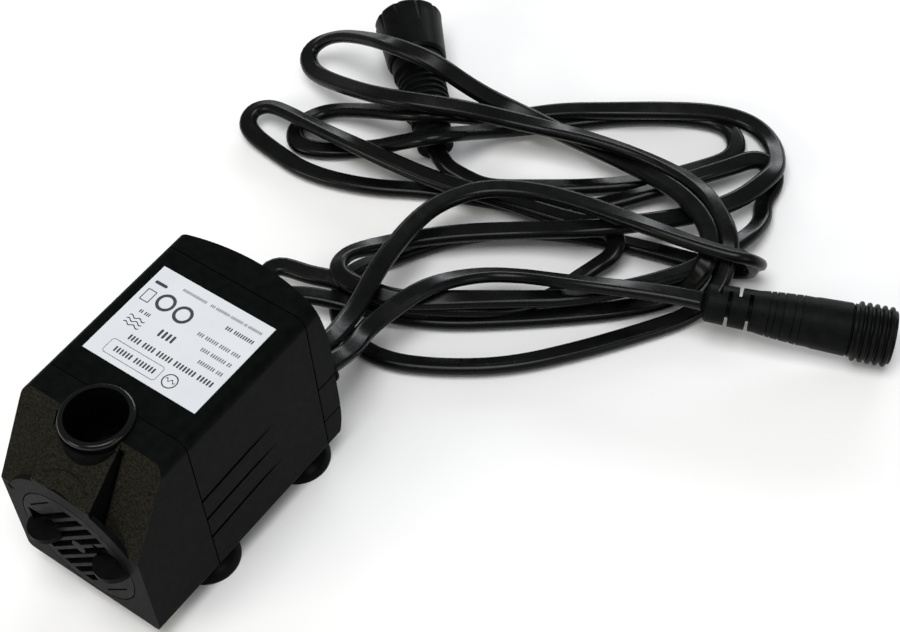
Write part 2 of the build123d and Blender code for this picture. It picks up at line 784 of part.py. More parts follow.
# ---------------------------------------------------------------- leads
# Route points are centres, chosen by hand, from the gland to the plug.
# A point 2.3 above the floor lies on it; higher ones rest on the strands below.
cord_a_over_pump_tail = [
    (gland_x - 2.7, gland_end, gland_z), (9.3, 46.5, 21), (7, 54, 17.5), (4.5, 62.5, 15.5), (1, 75.5, 16),
    (-2.5, 94.5, 14), (-1, 106, 13), (8, 115, 13), (24, 121.5, 14), (48.5, 122.5, 17),
    (64.5, 124.8, 16.6), (74, 126.8, 16.5),
]
cord_a_right_tip = [
    (79.5, 128.5, 15.5), (81.5, 132.5, 10.8), (79.5, 134.3, 5), (74.5, 133.5, 2.5),
]
cord_a_floor_stretch = [
    (64.5, 130.8, 2.3), (44.5, 126, 2.3), (27, 119.5, 2.3), (12, 110.5, 2.3), (2, 99.5, 2.3),
    (-5, 88, 2.3),
]
cord_a_behind_pump = [
    (-10.5, 80.5, 2.3), (-11, 73.5, 2.3), (-6, 65.5, 2.3), (3, 59.5, 2.3),
]
cord_a_lowest_arc = [
    (14, 60, 2.3), (27.5, 65.5, 2.3), (42.5, 75, 2.3), (55.5, 89, 2.3), (66.5, 105, 2.3),
    (71, 114, 2.3),
]
cord_a_first_return = [
    (73.5, 124.5, 4.5), (72, 133.5, 12), (63.5, 142, 12), (51.5, 147.5, 12), (35.5, 149.5, 11),
    (18.5, 146, 12), (0.5, 141.5, 12),
]
cord_a_top_loop = [
    (-13, 135, 16.5), (-25, 128, 19), (-36.5, 125, 17.5), (-52.5, 127.4, 11),
    (-63.5, 128.5, 6.7), (-69.5, 129.5, 6), (-73, 133.5, 6.4), (-70, 138, 8),
    (-61, 139.5, 12.5), (-52, 138.8, 17.4), (-40.5, 137, 22.5), (-27.5, 138.5, 22.5),
    (-18, 144, 14), (-6.5, 147.5, 7.3),
]
cord_a_second_return = [
    (15.5, 145.5, 7.3), (36.5, 142.5, 10), (52.5, 139, 12.3), (63, 133, 12), (67.5, 124.5, 12),
    (66.5, 121, 6.5), (63.5, 116.5, 2.6),
]
cord_a_inner_floor_run = [
    (56, 107.5, 2.3), (45, 97, 2.3), (33, 86.5, 2.3), (20, 77, 2.3), (8, 72, 2.4),
    (-1, 67.5, 6),
]
cord_a_bend_behind_pump = [
    (-12, 64.5, 7), (-19.5, 61, 7), (-25, 61, 7), (-29, 63.5, 7), (-29, 68, 7), (-25, 70.5, 7),
    (-18.5, 71, 7), (-8.5, 72.2, 7.3), (3, 72.8, 7.2), (13.5, 76.5, 6.4), (24, 83, 5.8),
    (32.5, 91, 3.6),
]
cord_a_small_bend = [
    (37.5, 99.5, 2.3), (39.5, 108, 2.3), (41.5, 113.5, 3.5), (44.5, 117.5, 6.3),
    (43, 122.5, 7.2), (37, 124, 7),
]
cord_a_outer_left = [
    (27.5, 121, 6.5), (10.5, 117.5, 7), (-9, 114.5, 7), (-29, 112, 8.5), (-50.5, 111.3, 8),
    (-62.5, 112, 6.7), (-68.5, 111, 5.7), (-72, 107.3, 4.8), (-70, 103, 3.8), (-65, 101.5, 3),
    (-56.5, 100, 2.3), (-42.5, 99, 2.3), (-25.5, 104, 2.3), (-10.5, 111.5, 2.3),
    (8, 118.5, 2.3), (22.5, 125.5, 2.3), (32, 133.5, 3), (41, 143.5, 4.8),
]
cord_a_short_fold = [
    (49, 152.5, 7), (54, 161, 7.3), (57.5, 165.5, 6.9), (61, 168, 5.2), (64, 166.5, 3.4),
    (64.5, 162.5, 2.4),
]
cord_a_right_loop = [
    (67, 157.5, 2.3), (70, 151.5, 2.6), (71.5, 141, 6.5), (63.5, 123, 7), (45.5, 101.5, 7.4),
]
cord_a_curl = [
    (33, 90.5, 8.2), (19.5, 80.5, 9.9), (9, 73.5, 10.2), (0.5, 70, 11.4), (-6, 69.5, 11.5),
    (-11, 71.5, 11.5), (-12.5, 76.5, 10.5), (-10.5, 83, 9),
]
cord_a_outer_right = [
    (-4.5, 91, 7.2), (7.5, 101.5, 7.2), (22.5, 112, 7.5), (37.5, 118.5, 11.3), (47, 127.5, 11),
    (54, 140, 7.2), (61.5, 150.5, 7.2), (66.5, 160.5, 7.2), (67.5, 170.5, 5.5),
    (60, 178.5, 2.3), (48.5, 182, 2.3), (38, 178.5, 4.8), (25, 170.5, 6.4), (12.5, 162.5, 6.2),
    (1, 156.5, 4.2), (-8.5, 148.5, 2.3),
]
cord_a_inner_left = [
    (-15, 139, 6), (-19, 128.5, 15), (-27.5, 124.2, 13.8), (-42, 124, 7), (-53.5, 122, 2.4),
    (-57.5, 115, 2.3), (-57, 109, 2.3), (-52, 105.5, 2.3), (-44, 107.5, 2.3), (-34.5, 115, 2.4),
    (-25, 117.5, 10), (-14, 121.5, 15.5), (-10.5, 135, 7), (-4.5, 145.5, 2.4),
]
cord_a_inner_right = [
    (6.5, 154, 2.3), (19.5, 163.5, 2.3), (33.5, 172, 2.3), (43, 175, 2.3), (49.5, 172, 2.3),
    (50, 166, 2.3), (45.5, 158.5, 2.3), (37, 147.5, 2.3), (24.5, 137, 2.3), (10.5, 128.5, 2.3),
    (0.5, 122, 2.3),
]
cord_a_into_boot = [
    (-7.5, 119.5, 2.8), (-13, 119.5, 5), (-17, 123.5, 5.5),
]
cord_b_route = [
    (gland_x + 2.7, gland_end, gland_z), (15, 45.5, 20.6), (14.5, 52, 16.5), (13.5, 60, 14), (14, 69, 14.3),
    (16.5, 77.5, 14.8), (20.5, 90.5, 10.5), (30, 97.5, 9.4), (44, 100, 12.6),
    (57.5, 105.5, 13.6), (69.5, 110.5, 13.8), (75.5, 113, 13),
]
cord_a_route = (
    cord_a_over_pump_tail + cord_a_right_tip + cord_a_floor_stretch + cord_a_behind_pump
    + cord_a_lowest_arc + cord_a_first_return + cord_a_top_loop + cord_a_second_return
    + cord_a_inner_floor_run + cord_a_bend_behind_pump + cord_a_small_bend + cord_a_outer_left
    + cord_a_short_fold + cord_a_right_loop + cord_a_curl + cord_a_outer_right
    + cord_a_inner_left + cord_a_inner_right + cord_a_into_boot
)


def corner_radii(points):
    """Tangent arc radius at each inner point of a route."""
    radii = []
    for before, here, after in zip(points, points[1:], points[2:]):
        run_in = Vector(*here) - Vector(*before)
        run_out = Vector(*after) - Vector(*here)
        half_turn = math.radians(run_in.get_angle(run_out)) / 2
        radii.append(0.45 * min(run_in.length, run_out.length) / math.tan(half_turn))
    return radii


for points, name in ((cord_a_route, "cord_a"), (cord_b_route, "cord_b")):
    radii = corner_radii(points)
    with BuildPart() as cord:
        with BuildLine() as route:
            FilletPolyline(*points, radius=radii)
        line = route.wires()[0]
        with BuildSketch(Plane(origin=line @ 0, z_dir=line % 0)):
            Circle(cord_radius)
        sweep(path=line, transition=Transition.RIGHT)
    save(cord, name)
    print(name, "length", round(line.length, 1), "radii", [round(r, 1) for r in radii])
    print(name, "section times length", round(math.pi * cord_radius**2 * line.length, 1))
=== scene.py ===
"""Looks for the fountain submersible pump: camera, leads, materials, label, light and floor."""
import math

import bmesh
import bpy
from mathutils import Matrix, Quaternion, Vector


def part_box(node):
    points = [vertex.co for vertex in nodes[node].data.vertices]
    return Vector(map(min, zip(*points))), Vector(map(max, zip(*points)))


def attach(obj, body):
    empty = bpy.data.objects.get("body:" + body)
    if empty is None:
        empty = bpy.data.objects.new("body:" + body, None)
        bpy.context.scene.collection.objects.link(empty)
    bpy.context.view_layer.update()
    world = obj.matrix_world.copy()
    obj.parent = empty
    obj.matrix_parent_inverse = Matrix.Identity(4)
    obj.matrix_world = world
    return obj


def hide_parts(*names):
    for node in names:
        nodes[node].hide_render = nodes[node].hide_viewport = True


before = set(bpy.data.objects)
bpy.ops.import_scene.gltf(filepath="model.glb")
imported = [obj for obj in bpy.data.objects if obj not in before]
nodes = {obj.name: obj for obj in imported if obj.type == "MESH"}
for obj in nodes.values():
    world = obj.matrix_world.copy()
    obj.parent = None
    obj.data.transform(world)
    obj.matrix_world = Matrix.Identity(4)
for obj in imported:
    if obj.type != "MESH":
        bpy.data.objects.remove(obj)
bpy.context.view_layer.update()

mm = 0.001

# ---------------------------------------------------------------- camera
camera_data = bpy.data.cameras.new("camera")
camera_data.lens = 81.63
camera_data.sensor_width = 36
camera_data.clip_end = 10
camera = bpy.data.objects.new("camera", camera_data)
camera.location = (0.2359, -0.1660, 0.4116)
camera.rotation_mode = "QUATERNION"
view_direction = Vector((-0.41277, 0.46990, -0.78027))
roll = Quaternion((0, 0, 1), math.radians(-6.07))
camera.rotation_quaternion = view_direction.to_track_quat("-Z", "Y") @ roll
bpy.context.scene.collection.objects.link(camera)
bpy.context.scene.camera = camera

# ---------------------------------------------------------------- routes of the leads
# Control points of the centre lines, from the gland to the plug, in metres: the part's own
# route, with many points moved to follow the photograph.
cord_a_over_pump_tail = [
    (0.0088, 0.0396, 0.0220), (0.0093, 0.0465, 0.0210), (0.0070, 0.0540, 0.0175),
    (0.0050, 0.0630, 0.0155), (0.0015, 0.0760, 0.0160), (-0.0010, 0.0950, 0.0140),
    (0.0010, 0.1055, 0.0130), (0.0080, 0.1150, 0.0130), (0.0240, 0.1215, 0.0140),
    (0.0485, 0.1225, 0.0170), (0.0645, 0.1248, 0.0166), (0.0740, 0.1268, 0.0165),
]
cord_a_right_tip = [
    (0.0775, 0.1285, 0.0162), (0.0795, 0.1315, 0.0115), (0.0780, 0.1340, 0.0062),
    (0.0740, 0.1340, 0.0028),
]
cord_a_floor_stretch = [
    (0.0645, 0.1308, 0.0023), (0.0445, 0.1260, 0.0023), (0.0270, 0.1195, 0.0023),
    (0.0120, 0.1105, 0.0023), (0.0020, 0.0995, 0.0023), (-0.0050, 0.0880, 0.0023),
]
cord_a_behind_pump = [
    (-0.0105, 0.0805, 0.0023), (-0.0110, 0.0735, 0.0023), (-0.0060, 0.0655, 0.0023),
    (0.0025, 0.0600, 0.0023),
]
cord_a_lowest_arc = [
    (0.0140, 0.0595, 0.0023), (0.0275, 0.0660, 0.0023), (0.0415, 0.0760, 0.0023),
    (0.0540, 0.0905, 0.0023), (0.0655, 0.1065, 0.0023), (0.0705, 0.1145, 0.0023),
]
cord_a_first_return = [
    (0.0730, 0.1240, 0.0045), (0.0710, 0.1330, 0.0120), (0.0630, 0.1405, 0.0120),
    (0.0525, 0.1460, 0.0120), (0.0370, 0.1475, 0.0110), (0.0200, 0.1445, 0.0120),
    (0.0020, 0.1395, 0.0120),
]
cord_a_top_loop = [
    (-0.0110, 0.1320, 0.0165), (-0.0230, 0.1250, 0.0190), (-0.0345, 0.1220, 0.0175),
    (-0.0500, 0.1245, 0.0110), (-0.0610, 0.1270, 0.0067), (-0.0660, 0.1290, 0.0060),
    (-0.0695, 0.1325, 0.0064), (-0.0685, 0.1365, 0.0080), (-0.0620, 0.1385, 0.0125),
    (-0.0515, 0.1380, 0.0174), (-0.0400, 0.1360, 0.0225), (-0.0265, 0.1370, 0.0225),
    (-0.0155, 0.1405, 0.0140), (-0.0050, 0.1455, 0.0073),
]
cord_a_second_return = [
    (0.0155, 0.1455, 0.0073), (0.0365, 0.1440, 0.0100), (0.0530, 0.1405, 0.0123),
    (0.0645, 0.1340, 0.0120), (0.0685, 0.1250, 0.0120), (0.0675, 0.1215, 0.0065),
    (0.0640, 0.1170, 0.0026),
]
cord_a_inner_floor_run = [
    (0.0560, 0.1075, 0.0023), (0.0445, 0.0975, 0.0023), (0.0320, 0.0875, 0.0023),
    (0.0190, 0.0780, 0.0023), (0.0075, 0.0725, 0.0024), (-0.0010, 0.0675, 0.0060),
]
cord_a_bend_behind_pump = [
    (-0.0120, 0.0635, 0.0070), (-0.0190, 0.0590, 0.0070), (-0.0240, 0.0595, 0.0070),
    (-0.0270, 0.0630, 0.0070), (-0.0255, 0.0665, 0.0070), (-0.0220, 0.0675, 0.0070),
    (-0.0165, 0.0685, 0.0070), (-0.0080, 0.0715, 0.0073), (0.0040, 0.0715, 0.0072),
    (0.0135, 0.0765, 0.0064), (0.0240, 0.0830, 0.0058), (0.0325, 0.0910, 0.0036),
]
cord_a_small_bend = [
    (0.0375, 0.0995, 0.0023), (0.0395, 0.1080, 0.0023), (0.0420, 0.1140, 0.0035),
    (0.0450, 0.1180, 0.0063), (0.0430, 0.1225, 0.0072), (0.0370, 0.1240, 0.0070),
]
cord_a_outer_left = [
    (0.0275, 0.1210, 0.0065), (0.0105, 0.1175, 0.0070), (-0.0075, 0.1130, 0.0070),
    (-0.0275, 0.1105, 0.0085), (-0.0495, 0.1100, 0.0080), (-0.0615, 0.1110, 0.0067),
    (-0.0665, 0.1105, 0.0057), (-0.0695, 0.1075, 0.0048), (-0.0685, 0.1035, 0.0038),
    (-0.0645, 0.1015, 0.0030), (-0.0565, 0.1005, 0.0023), (-0.0430, 0.0990, 0.0023),
    (-0.0260, 0.1040, 0.0023), (-0.0110, 0.1125, 0.0023), (0.0075, 0.1195, 0.0023),
    (0.0225, 0.1255, 0.0023), (0.0320, 0.1335, 0.0030), (0.0410, 0.1435, 0.0048),
]
cord_a_short_fold = [
    (0.0490, 0.1525, 0.0070), (0.0545, 0.1600, 0.0073), (0.0570, 0.1650, 0.0069),
    (0.0590, 0.1680, 0.0052), (0.0630, 0.1680, 0.0034), (0.0655, 0.1640, 0.0024),
]
cord_a_right_loop = [
    (0.0660, 0.1570, 0.0023), (0.0695, 0.1515, 0.0026), (0.0705, 0.1410, 0.0065),
    (0.0645, 0.1220, 0.0070), (0.0465, 0.1005, 0.0074),
]
cord_a_curl = [
    (0.0330, 0.0905, 0.0082), (0.0200, 0.0800, 0.0099), (0.0095, 0.0725, 0.0102),
    (0.0005, 0.0700, 0.0114), (-0.0060, 0.0695, 0.0115), (-0.0100, 0.0720, 0.0115),
    (-0.0110, 0.0770, 0.0105), (-0.0095, 0.0820, 0.0090),
]
cord_a_outer_right = [
    (-0.0040, 0.0905, 0.0072), (0.0075, 0.1015, 0.0072), (0.0225, 0.1120, 0.0075),
    (0.0375, 0.1185, 0.0113), (0.0470, 0.1275, 0.0110), (0.0545, 0.1390, 0.0072),
    (0.0620, 0.1500, 0.0072), (0.0645, 0.1605, 0.0072), (0.0640, 0.1680, 0.0055),
    (0.0570, 0.1775, 0.0023), (0.0480, 0.1810, 0.0023), (0.0385, 0.1765, 0.0048),
    (0.0270, 0.1680, 0.0064), (0.0145, 0.1600, 0.0062), (0.0025, 0.1545, 0.0042),
    (-0.0075, 0.1470, 0.0023),
]
cord_a_inner_left = [
    (-0.0145, 0.1385, 0.0060), (-0.0185, 0.1275, 0.0150), (-0.0270, 0.1235, 0.0138),
    (-0.0415, 0.1230, 0.0070), (-0.0530, 0.1210, 0.0024), (-0.0565, 0.1145, 0.0023),
    (-0.0565, 0.1095, 0.0023), (-0.0520, 0.1055, 0.0023), (-0.0445, 0.1080, 0.0023),
    (-0.0345, 0.1150, 0.0024), (-0.0240, 0.1165, 0.0100), (-0.0130, 0.1205, 0.0155),
    (-0.0095, 0.1340, 0.0070), (-0.0040, 0.1445, 0.0024),
]
cord_a_inner_right = [
    (0.0065, 0.1540, 0.0023), (0.0185, 0.1645, 0.0023), (0.0325, 0.1730, 0.0023),
    (0.0430, 0.1765, 0.0023), (0.0495, 0.1720, 0.0023), (0.0505, 0.1660, 0.0023),
    (0.0455, 0.1585, 0.0023), (0.0370, 0.1475, 0.0023), (0.0245, 0.1370, 0.0023),
    (0.0110, 0.1280, 0.0023), (0.0010, 0.1215, 0.0023),
]
cord_a_into_boot = [
    (-0.0070, 0.1210, 0.0028), (-0.0120, 0.1200, 0.0050), (-0.0170, 0.1235, 0.0055),
]
cord_b_route = [
    (0.0142, 0.0396, 0.0220), (0.0145, 0.0450, 0.0206), (0.0130, 0.0510, 0.0165),
    (0.0105, 0.0585, 0.0140), (0.0125, 0.0690, 0.0143), (0.0155, 0.0780, 0.0148),
    (0.0210, 0.0900, 0.0105), (0.0305, 0.0970, 0.0094), (0.0440, 0.1000, 0.0126),
    (0.0575, 0.1055, 0.0136), (0.0695, 0.1105, 0.0138), (0.0755, 0.1130, 0.0130),
]
cord_a_route = (
    cord_a_over_pump_tail + cord_a_right_tip + cord_a_floor_stretch + cord_a_behind_pump
    + cord_a_lowest_arc + cord_a_first_return + cord_a_top_loop + cord_a_second_return
    + cord_a_inner_floor_run + cord_a_bend_behind_pump + cord_a_small_bend + cord_a_outer_left
    + cord_a_short_fold + cord_a_right_loop + cord_a_curl + cord_a_outer_right
    + cord_a_inner_left + cord_a_inner_right + cord_a_into_boot
)

cord_width = 5.2 * mm
cord_thickness = 3.2 * mm
web_dip = 0.45 * mm
ring_step = 1.2 * mm
full_roll_height = 10 * mm


def read_line(route):
    """Points along the smooth line that has the route's points as its control points."""
    curve = bpy.data.curves.new("route", "CURVE")
    curve.dimensions = "3D"
    spline = curve.splines.new("NURBS")
    spline.points.add(len(route) - 1)
    for point, place in zip(spline.points, route):
        point.co = (*place, 1)
    spline.order_u = 3
    spline.use_endpoint_u = True
    curve.resolution_u = 16
    holder = bpy.data.objects.new("route", curve)
    bpy.context.scene.collection.objects.link(holder)
    mesh = bpy.data.meshes.new_from_object(holder)
    line = [vertex.co.copy() for vertex in mesh.vertices]
    bpy.data.objects.remove(holder)
    bpy.data.meshes.remove(mesh)
    return line


def evenly(line, step):
    """The same line with its points a step apart."""
    points = [line[0].copy()]
    left = step
    for start, end in zip(line, line[1:]):
        length = (end - start).length
        travelled = 0.0
        while length - travelled >= left:
            travelled += left
            points.append(start.lerp(end, travelled / length))
            left = step
        left -= length - travelled
    if (points[-1] - line[-1]).length > step / 3:
        points.append(line[-1].copy())
    return points


def flat_twin_section():
    """Outline of a flat twin cord: two round cores joined by a slightly thinner web."""
    radius = cord_thickness / 2
    core = cord_width / 2 - radius
    outline = []
    for side in (1, -1):
        for degrees in range(-80, 81, 20):
            angle = math.radians(degrees)
            outline.append((side * (core + radius * math.cos(angle)),
                            side * radius * math.sin(angle)))
        outline.append((0, side * (radius - web_dip)))
    return outline


def smooth_vectors(vectors, reach):
    """Running mean of directions, so that the cord turns over gradually."""
    result = []
    for index in range(len(vectors)):
        window = vectors[max(0, index - reach):index + reach + 1]
        result.append(sum(window, Vector()).normalized())
    return result


def lead_mesh(name, line, roll_phase):
    """Mesh of a flat cord that follows a line and lies on its flat side, rolling a little."""
    section = flat_twin_section()
    tangents = []
    for index in range(len(line)):
        before = line[max(0, index - 1)]
        after = line[min(len(line) - 1, index + 1)]
        tangents.append((after - before).normalized())
    sideways = [tangent.cross(Vector((0, 0, 1))).normalized() for tangent in tangents]
    sideways = smooth_vectors(sideways, 4)
    vertices = []
    travelled = 0.0
    for index, (place, tangent, side) in enumerate(zip(line, tangents, sideways)):
        if index:
            travelled += (place - line[index - 1]).length
        side = (side - tangent * side.dot(tangent)).normalized()
        amount = min(1.0, 0.25 + 0.75 * place.z / full_roll_height)
        slow_roll = 22 * math.sin(travelled * 31 + roll_phase)
        quick_roll = 14 * math.sin(travelled * 73)
        turn = Matrix.Rotation(math.radians(slow_roll + quick_roll) * amount, 3, tangent)
        side = turn @ side
        up = side.cross(tangent)
        vertices += [place + side * x + up * y for x, y in section]
    count = len(section)
    faces = []
    for ring in range(len(line) - 1):
        for corner in range(count):
            after = (corner + 1) % count
            faces.append((ring * count + corner, ring * count + after,
                          (ring + 1) * count + after, (ring + 1) * count + corner))
    faces.append(tuple(range(count - 1, -1, -1)))
    faces.append(tuple(range((len(line) - 1) * count, len(line) * count)))
    mesh = bpy.data.meshes.new(name)
    mesh.from_pydata(vertices, [], faces)
    mesh.shade_smooth()
    mesh.update()
    return mesh


def make_object(name, mesh, body):
    """Adds a mesh to the scene as a piece that moves with a body."""
    piece = bpy.data.objects.new(name, mesh)
    bpy.context.scene.collection.objects.link(piece)
    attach(piece, body)
    return piece


def make_lead(name, node, route, phase):
    """A free lead: a flat cord along the route, in place of the part's own cord, which is hidden.
    """
    line = evenly(read_line(route), ring_step)
    lead = make_object(name, lead_mesh(name, line, phase), "pump")
    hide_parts(node)
    return lead


long_lead = make_lead("long_lead", "cord_a", cord_a_route,
                      0.4)
short_lead = make_lead("short_lead", "cord_b", cord_b_route,
                       2.0)


# ---------------------------------------------------------------- floor and light
def make_floor():
    """Plain pale flat floor, far larger than the view."""
    mesh = bpy.data.meshes.new("floor")
    reach = 3.0
    corners = [(-reach, -reach, 0), (reach, -reach, 0), (reach, reach, 0), (-reach, reach, 0)]
    mesh.from_pydata(corners, [], [(0, 1, 2, 3)])
    floor = bpy.data.objects.new("floor", mesh)
    bpy.context.scene.collection.objects.link(floor)
    paper = bpy.data.materials.new("floor")
    paper.use_nodes = True
    shader = paper.node_tree.nodes["Principled BSDF"]
    shader.inputs["Base Color"].default_value = (0.9, 0.9, 0.9, 1)
    shader.inputs["Roughness"].default_value = 0.9
    mesh.materials.append(paper)


def add_light(name, place, target, size, power, color=(1.0, 1.0, 1.0)):
    """Soft rectangular lamp."""
    lamp = bpy.data.lights.new(name, "AREA")
    lamp.shape = "RECTANGLE"
    lamp.size, lamp.size_y = size
    lamp.energy = power
    lamp.color = color
    holder = bpy.data.objects.new(name, lamp)
    holder.location = place
    aim = Vector(target) - Vector(place)
    holder.rotation_mode = "QUATERNION"
    holder.rotation_quaternion = aim.to_track_quat("-Z", "Y")
    bpy.context.scene.collection.objects.link(holder)


make_floor()
middle = (0.02, 0.06, 0.02)
add_light("overhead", (0.15, -0.25, 1.35), middle, (0.8, 0.8), 14)
add_light("front_key", (-0.45, -1.05, 0.55), middle, (0.5, 0.35), 4.5, (1.0, 0.96, 0.84))
add_light("rear_strip", (-0.45, 1.15, 0.42), middle, (1.2, 0.22), 8, (0.93, 0.97, 1.0))
add_light("side_fill", (1.0, -0.1, 0.45), middle, (0.5, 0.4), 1.5, (0.95, 0.97, 1.0))
world = bpy.data.worlds.new("studio")
world.use_nodes = True
backdrop = world.node_tree.nodes["Background"]
backdrop.inputs["Color"].default_value = (1, 1, 1, 1)
backdrop.inputs["Strength"].default_value = 0.26
bpy.context.scene.world = world
bpy.context.scene.view_settings.view_transform = "Standard"


# ---------------------------------------------------------------- materials
def new_material(name, color, roughness, metallic=0.0, specular=0.5, coat=0.0):
    """Principled material with uniform values on the shader's own sockets."""
    material = bpy.data.materials.new(name)
    material.use_nodes = True
    shader = material.node_tree.nodes["Principled BSDF"]
    shader.inputs["Base Color"].default_value = (*color, 1)
    shader.inputs["Roughness"].default_value = roughness
    shader.inputs["Metallic"].default_value = metallic
    shader.inputs["Specular IOR Level"].default_value = specular
    shader.inputs["Coat Weight"].default_value = coat
    return material, shader


def noise_texture(material, scale, detail=3.0, rough=0.55):
    """Noise in the object's own metres."""
    tree = material.node_tree
    place = tree.nodes.new("ShaderNodeTexCoord")
    texture = tree.nodes.new("ShaderNodeTexNoise")
    texture.inputs["Scale"].default_value = scale
    texture.inputs["Detail"].default_value = detail
    texture.inputs["Roughness"].default_value = rough
    tree.links.new(place.outputs["Object"], texture.inputs["Vector"])
    return texture


def vary(material, socket, source, low, high, start=0.3, end=0.7):
    """Drives a socket between two values or colours with a texture."""
    tree = material.node_tree
    ramp = tree.nodes.new("ShaderNodeValToRGB")
    for element, position, value in zip(ramp.color_ramp.elements, (start, end), (low, high)):
        element.position = position
        shade = value if isinstance(value, tuple) else (value, value, value)
        element.color = (*shade, 1)
    tree.links.new(source.outputs["Fac"], ramp.inputs["Fac"])
    tree.links.new(ramp.outputs["Color"], socket)


def bump(material, shader, source, strength, distance):
    """Fine relief from a texture."""
    tree = material.node_tree
    relief = tree.nodes.new("ShaderNodeBump")
    relief.inputs["Strength"].default_value = strength
    relief.inputs["Distance"].default_value = distance
    tree.links.new(source.outputs["Fac"], relief.inputs["Height"])
    tree.links.new(relief.outputs["Normal"], shader.inputs["Normal"])


def grained(name, dark, light, roughness, grain_scale, grain, specular=0.5, patch_scale=60,
            coat=0.0):
    """Moulded plastic or rubber: patchy colour and gloss, with a fine grain."""
    material, shader = new_material(name, dark, roughness[0], specular=specular, coat=coat)
    patches = noise_texture(material, patch_scale, 4.0)
    vary(material, shader.inputs["Base Color"], patches, dark, light)
    gloss = noise_texture(material, patch_scale * 2.3, 5.0)
    vary(material, shader.inputs["Roughness"], gloss, roughness[0], roughness[1])
    relief = noise_texture(material, grain_scale, 2.0)
    grain_depth = 0.12 * mm
    bump(material, shader, relief, grain, grain_depth)
    return material


housing = grained("housing_plastic", (0.0016, 0.0020, 0.0019), (0.0036, 0.0042, 0.0040),
                  (0.40, 0.46), 2600, 0.4, specular=0.02, patch_scale=420)
cover = grained("front_cover_plastic", (0.0020, 0.0024, 0.0023), (0.0042, 0.0047, 0.0046),
                (0.42, 0.48), 2600, 0.4, specular=0.02, patch_scale=420)
dial_plastic = grained("dial_plastic", (0.0032, 0.0032, 0.0033), (0.0056, 0.0055, 0.0056),
                       (0.4, 0.5), 1800, 0.3, specular=0.03, patch_scale=260)
outlet_plastic = grained("outlet_plastic", (0.0014, 0.0017, 0.0017), (0.0026, 0.0030, 0.0030),
                         (0.12, 0.22), 1600, 0.12, specular=0.26)
cup_rubber = grained("cup_rubber", (0.0016, 0.0019, 0.0019), (0.0032, 0.0036, 0.0036),
                     (0.22, 0.34), 900, 0.08, specular=0.05)
plug_rubber = grained("plug_rubber", (0.0026, 0.0031, 0.0030), (0.0054, 0.0061, 0.0059),
                      (0.40, 0.50), 2000, 0.5, specular=0.04, patch_scale=300)
plug_plastic = grained("plug_plastic", (0.0024, 0.0028, 0.0027), (0.0048, 0.0054, 0.0052),
                       (0.32, 0.42), 1700, 0.3, specular=0.06, patch_scale=260)
sheath = grained("cord_sheath", (0.0018, 0.0021, 0.0020), (0.0034, 0.0040, 0.0038),
                 (0.22, 0.32), 900, 0.12, specular=0.16, patch_scale=160)
inner_plastic = grained("inner_plastic", (0.012, 0.012, 0.012), (0.02, 0.02, 0.02), (0.4, 0.55),
                        1500, 0.2)
pale_plastic = grained("pale_plastic", (0.5, 0.5, 0.46), (0.62, 0.61, 0.57), (0.4, 0.5),
                       1500, 0.2)
dark_impeller = grained("impeller_plastic", (0.012, 0.013, 0.014), (0.02, 0.021, 0.022),
                        (0.3, 0.45), 1500, 0.2)
ceramic = grained("ceramic", (0.75, 0.74, 0.7), (0.82, 0.81, 0.78), (0.12, 0.2), 2500, 0.05)
magnet = grained("magnet", (0.02, 0.02, 0.023), (0.035, 0.035, 0.038), (0.45, 0.6), 2500, 0.3)
resin = grained("potting_resin", (0.012, 0.012, 0.012), (0.02, 0.02, 0.02), (0.15, 0.3), 300, 0.1)
label_film = grained("label_film", (0.60, 0.62, 0.65), (0.65, 0.67, 0.70), (0.3, 0.38), 1200,
                     0.04)
print_ink = grained("label_print", (0.022, 0.022, 0.026), (0.045, 0.045, 0.05), (0.35, 0.45),
                    1200, 0.04)
print_grey = grained("label_print_grey", (0.10, 0.10, 0.11), (0.16, 0.16, 0.17), (0.35, 0.45),
                     1200, 0.04)


